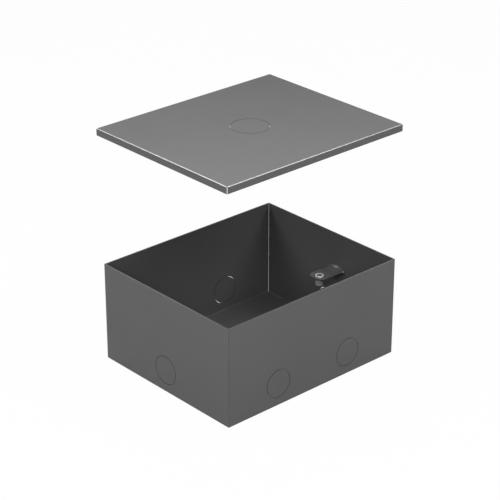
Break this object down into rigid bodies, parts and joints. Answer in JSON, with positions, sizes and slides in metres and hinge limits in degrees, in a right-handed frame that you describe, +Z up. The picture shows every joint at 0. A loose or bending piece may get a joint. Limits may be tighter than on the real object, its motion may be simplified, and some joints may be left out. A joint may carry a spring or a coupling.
{
  "type": "floor box",
  "caption": "Open sheet-steel floor box with folded walls, round conduit knockouts, threaded fixing lugs inside and a shallow lift-off lid held above it.",
  "frame": {"origin": "middle of the box's underside", "axes": "+X along the long walls, +Y from the front wall to the back wall, +Z up through the lid"},
  "size_m": [0.1872, 0.157, 0.2081],
  "materials": {
    "sheet_steel": "satin dark grey",
    "lug_steel": "satin dark grey",
    "weld_metal": "satin dark grey over weld",
    "bush_steel": "bright zinc plate"
  },
  "bodies": {
    "box": {"box_tray": "sheet_steel", "right_lug": "lug_steel", "left_lug": "lug_steel", "right_lug_weld": "weld_metal", "left_lug_weld": "weld_metal", "right_threaded_bush": "bush_steel", "left_threaded_bush": "bush_steel"},
    "lid": {"lid_pan": "sheet_steel"},
    "front_left_knockout": {"front_left_knockout": "sheet_steel"},
    "front_right_knockout": {"front_right_knockout": "sheet_steel"},
    "back_left_knockout": {"back_left_knockout": "sheet_steel"},
    "back_right_knockout": {"back_right_knockout": "sheet_steel"},
    "left_knockout": {"left_knockout": "sheet_steel"},
    "right_knockout": {"right_knockout": "sheet_steel"},
    "lid_knockout": {"lid_knockout": "sheet_steel"}
  },
  "joints": [
    {"name": "lid_lift", "type": "slide", "parent": "box", "child": "lid", "axis": [0, 0, 1], "range_m": [-0.1189, 0]},
    {"name": "front_left_knockout_push", "type": "slide", "parent": "box", "child": "front_left_knockout", "axis": [0, -1, 0], "range_m": [0, 0.03]},
    {"name": "front_right_knockout_push", "type": "slide", "parent": "box", "child": "front_right_knockout", "axis": [0, -1, 0], "range_m": [0, 0.03]},
    {"name": "back_left_knockout_push", "type": "slide", "parent": "box", "child": "back_left_knockout", "axis": [0, 1, 0], "range_m": [0, 0.03]},
    {"name": "back_right_knockout_push", "type": "slide", "parent": "box", "child": "back_right_knockout", "axis": [0, 1, 0], "range_m": [0, 0.03]},
    {"name": "left_knockout_push", "type": "slide", "parent": "box", "child": "left_knockout", "axis": [-1, 0, 0], "range_m": [0, 0.03]},
    {"name": "right_knockout_push", "type": "slide", "parent": "box", "child": "right_knockout", "axis": [1, 0, 0], "range_m": [0, 0.03]},
    {"name": "lid_knockout_push", "type": "slide", "parent": "lid", "child": "lid_knockout", "axis": [0, 0, 1], "range_m": [0, 0.03]}
  ]
}
